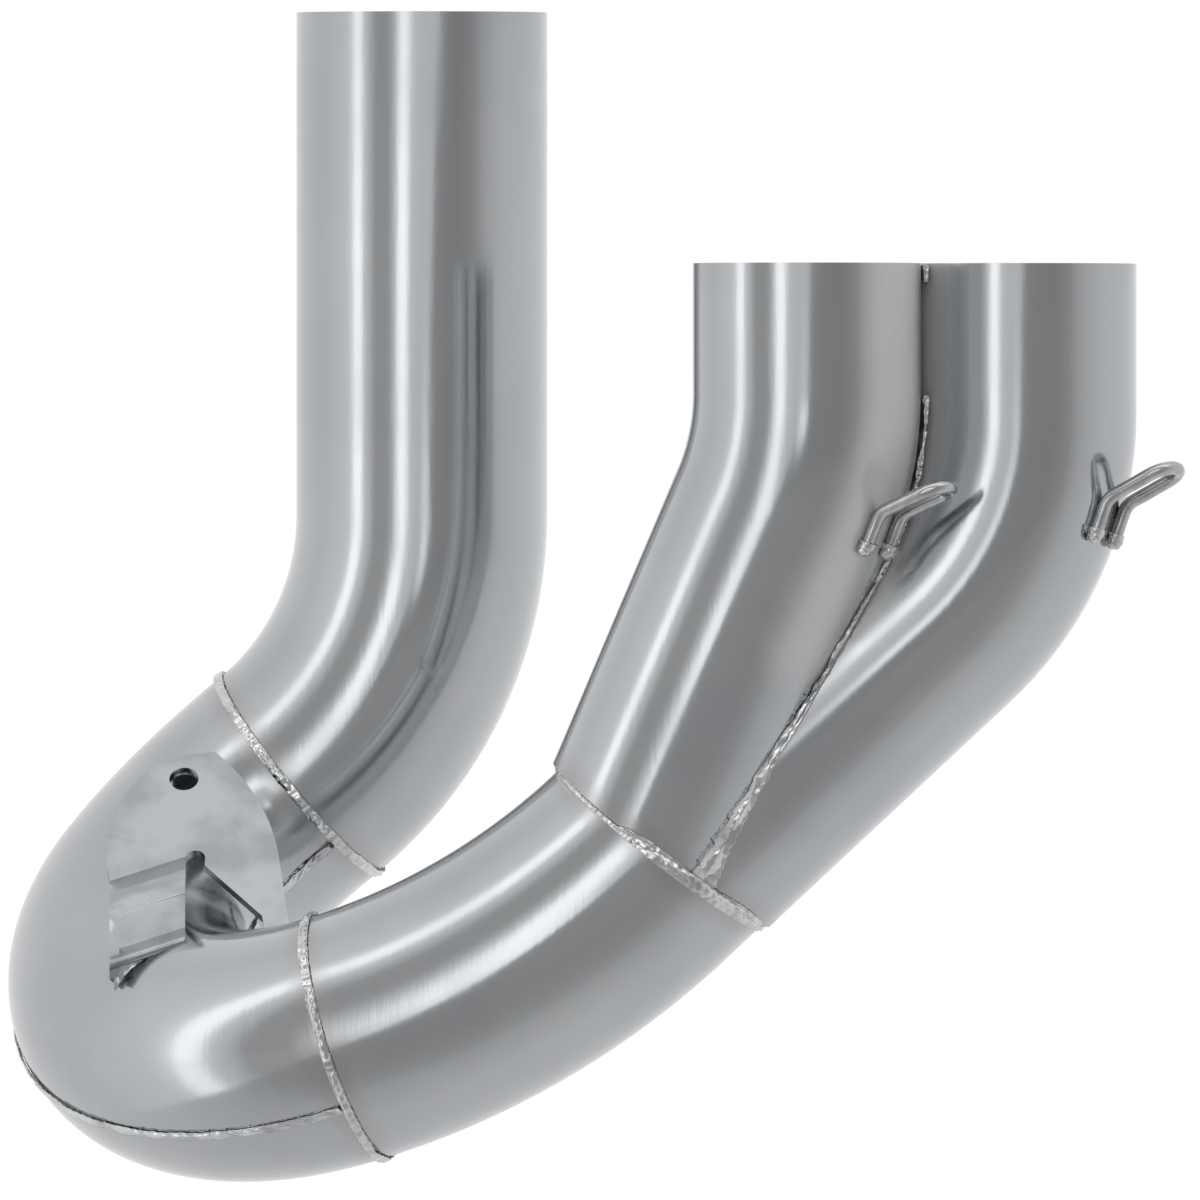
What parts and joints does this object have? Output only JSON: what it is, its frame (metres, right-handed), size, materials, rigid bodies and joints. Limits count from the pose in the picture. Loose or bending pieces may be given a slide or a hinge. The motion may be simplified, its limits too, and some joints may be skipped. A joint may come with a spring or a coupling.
{
  "type": "motorcycle exhaust mid-pipe",
  "caption": "Steel exhaust mid-pipe: two side-by-side header inlets merge into one tube that doubles back through a return bend to an upright outlet, with spring hooks and a hanger bracket.",
  "frame": {"origin": "centre of the outlet's open end", "axes": "+Z runs out of the outlet along its axis; +X runs from the outlet towards the two inlets; +Y runs away from the viewer"},
  "size_m": [0.2798, 0.1829, 0.2788],
  "materials": {
    "tube_steel": "satin brushed, with faint draw lines along the tubes",
    "weld_bead": "rippled weld metal, brushed clean",
    "bracket_steel": "smooth satin sheet",
    "hook_wire": "satin drawn wire"
  },
  "bodies": {
    "root": {"outlet_pipe": "tube_steel", "return_bend_upper_half": "tube_steel", "return_bend_lower_half": "tube_steel", "link_pipe": "tube_steel", "front_inlet": "tube_steel", "rear_inlet": "tube_steel", "outlet_weld": "weld_bead", "link_weld": "weld_bead", "joint_weld": "weld_bead", "outer_seam_weld": "weld_bead", "inner_seam_weld": "weld_bead", "merge_weld": "weld_bead", "inlet_tack": "weld_bead", "front_spring_hook": "hook_wire", "rear_spring_hook": "hook_wire", "front_hook_tacks": "weld_bead", "rear_hook_tacks": "weld_bead", "hanger_bracket": "bracket_steel"}
  },
  "joints": []
}
